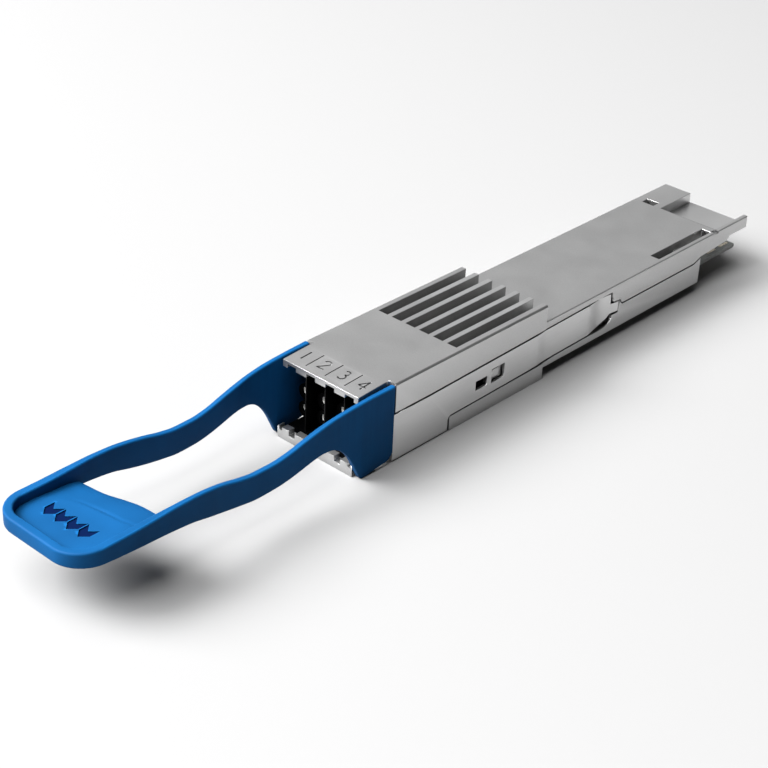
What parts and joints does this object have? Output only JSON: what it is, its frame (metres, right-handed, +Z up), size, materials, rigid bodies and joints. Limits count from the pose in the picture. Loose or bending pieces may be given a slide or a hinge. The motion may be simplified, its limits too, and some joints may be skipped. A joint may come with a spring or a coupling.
{
  "type": "optical transceiver module",
  "caption": "Pluggable optical transceiver: finned metal nose, flat in-cage body, duplex fibre ports, card edge and a sprung latch strip with a looped pull tab.",
  "frame": {"origin": "on the flat underside of the nose, mid width, directly below the front edge of the top tongue over the ports", "axes": "+Y along insertion, from the pull tab towards the card edge; +Z up, from the nose underside to the fins; +X to the right seen from the ports"},
  "size_m": [0.019, 0.1545, 0.0136],
  "materials": {
    "cast_shell": "satin nickel-plated zinc die casting, fine matt grain",
    "strip_steel": "bright stamped stainless strip",
    "blue_plastic": "moulded blue elastomer-like plastic, satin",
    "black_plastic": "moulded black, matt",
    "gasket_rubber": "conductive black elastomer",
    "zirconia": "polished white zirconia",
    "steel": "plain stainless",
    "fibre_coating": "clear yellow acrylate coating",
    "optic_glass": "polished",
    "ceramic": "fired, matt",
    "chip_die": "polished silicon grey",
    "chip_package": "moulded epoxy",
    "lid_metal": "stamped, satin",
    "thermal_pad": "soft grey-blue gap filler",
    "laminate": "green solder mask over glass laminate",
    "gold": "hard gold plating",
    "label_film": "blank silver film"
  },
  "bodies": {
    "housing": {"top_shell": "cast_shell", "bottom_shell": "cast_shell", "port_receptacle": "black_plastic", "emi_gasket": "gasket_rubber", "split_sleeves": "zirconia", "ferrule_stubs": "zirconia", "ferrule_retainer": "steel", "fibre_pigtails": "fibre_coating", "fibre_array_block": "optic_glass", "engine_carrier": "ceramic", "lens_array": "optic_glass", "laser_chips": "chip_die", "driver_chip": "chip_die", "receiver_chip": "chip_die", "engine_lid": "lid_metal", "engine_thermal_pad": "thermal_pad", "circuit_card": "laminate", "contacts_top": "gold", "contacts_bottom": "gold", "signal_processor": "chip_die", "processor_thermal_pad": "thermal_pad", "microcontroller": "chip_package", "power_inductors": "chip_package", "power_regulators": "chip_package", "capacitors": "ceramic", "crystal_oscillator": "lid_metal", "rear_seal": "gasket_rubber", "housing_screws": "steel", "bottom_label": "label_film", "return_spring_left": "steel", "return_spring_right": "steel"},
    "latch": {"latch_slider": "strip_steel", "pull_tab": "blue_plastic"}
  },
  "joints": [
    {"name": "latch_pull", "type": "slide", "parent": "housing", "child": "latch", "axis": [0, -1, 0], "range_m": [0, 0.0014], "stiffness_N_per_m": 500, "springref_m": -0.004, "deforming": ["return_spring_left", "return_spring_right"]}
  ]
}
